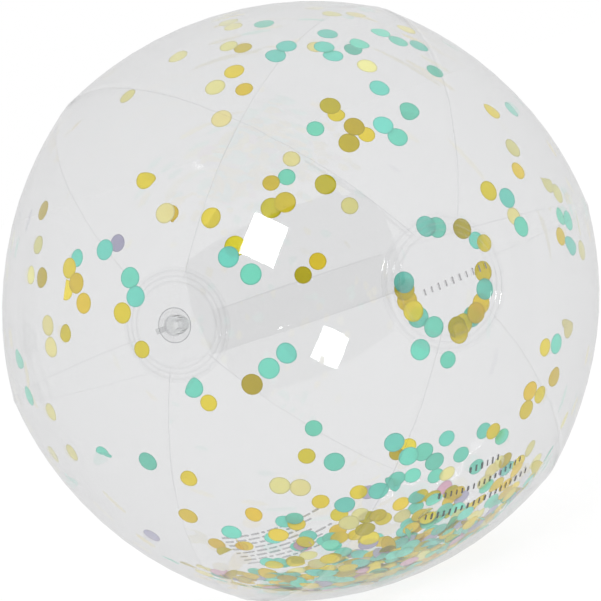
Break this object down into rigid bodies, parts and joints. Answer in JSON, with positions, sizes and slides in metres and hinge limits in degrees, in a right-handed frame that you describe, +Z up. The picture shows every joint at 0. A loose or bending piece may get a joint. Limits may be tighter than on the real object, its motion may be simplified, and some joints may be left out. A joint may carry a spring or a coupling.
{
  "type": "inflatable beach ball",
  "caption": "Clear inflatable beach ball of welded gores with round end patches, a pop-out plugged valve and loose round confetti sealed inside.",
  "frame": {"origin": "centre of the ball", "axes": "+Z up, pole axis along Y with the valve at +Y and the plain end patch at -Y, +X to the right seen from -Y; the ball rests on the middle of its lowest gore"},
  "size_m": [0.3544, 0.3545, 0.3455],
  "materials": {
    "clear_film": "clear, glossy",
    "clear_patch": "clear, glossy, embossed rings",
    "valve_vinyl": "clear soft vinyl",
    "teal_foil": "satin metallic film",
    "yellow_foil": "satin metallic film",
    "pale_foil": "pale translucent film",
    "gold_foil": "satin foil",
    "lilac_foil": "satin metallic film",
    "pink_foil": "satin metallic film"
  },
  "bodies": {
    "ball": {"gore_1": "clear_film", "gore_2": "clear_film", "gore_3": "clear_film", "gore_4": "clear_film", "gore_5": "clear_film", "gore_6": "clear_film", "front_pole_patch": "clear_patch", "valve_pole_patch": "clear_patch", "valve_base": "valve_vinyl", "valve_diaphragm": "valve_vinyl", "cling_gold": "gold_foil", "cling_lilac": "lilac_foil", "cling_pale": "pale_foil", "cling_teal": "teal_foil", "cling_yellow": "yellow_foil"},
    "valve_stem": {"valve_stem": "valve_vinyl", "plug_strap": "valve_vinyl"},
    "valve_plug": {"valve_plug": "valve_vinyl"},
    "valve_flap": {"valve_flap": "valve_vinyl"},
    "loose_confetti": {"heap_gold": "gold_foil", "heap_lilac": "lilac_foil", "heap_pale": "pale_foil", "heap_pink": "pink_foil", "heap_teal": "teal_foil", "heap_yellow": "yellow_foil"}
  },
  "joints": [
    {"name": "valve_pop", "type": "slide", "parent": "ball", "child": "valve_stem", "axis": [0, 1, 0], "range_m": [0, 0.012], "deforming": ["valve_diaphragm"]},
    {"name": "plug_swing", "type": "hinge", "parent": "valve_stem", "child": "valve_plug", "pos_m": [-0.012, 0.1748, 0], "axis": [0, 0, 1], "range_deg": [0, 105], "deforming": ["plug_strap"]},
    {"name": "valve_flap_hinge", "type": "hinge", "parent": "valve_stem", "child": "valve_flap", "pos_m": [0.0042, 0.1626, 0], "axis": [0, 0, 1], "range_deg": [0, 50], "stiffness_Nm_per_rad": 0.0002},
    {"name": "confetti_swirl", "type": "hinge", "parent": "ball", "child": "loose_confetti", "pos_m": [0, 0, 0], "axis": [0, 1, 0], "continuous": true}
  ]
}
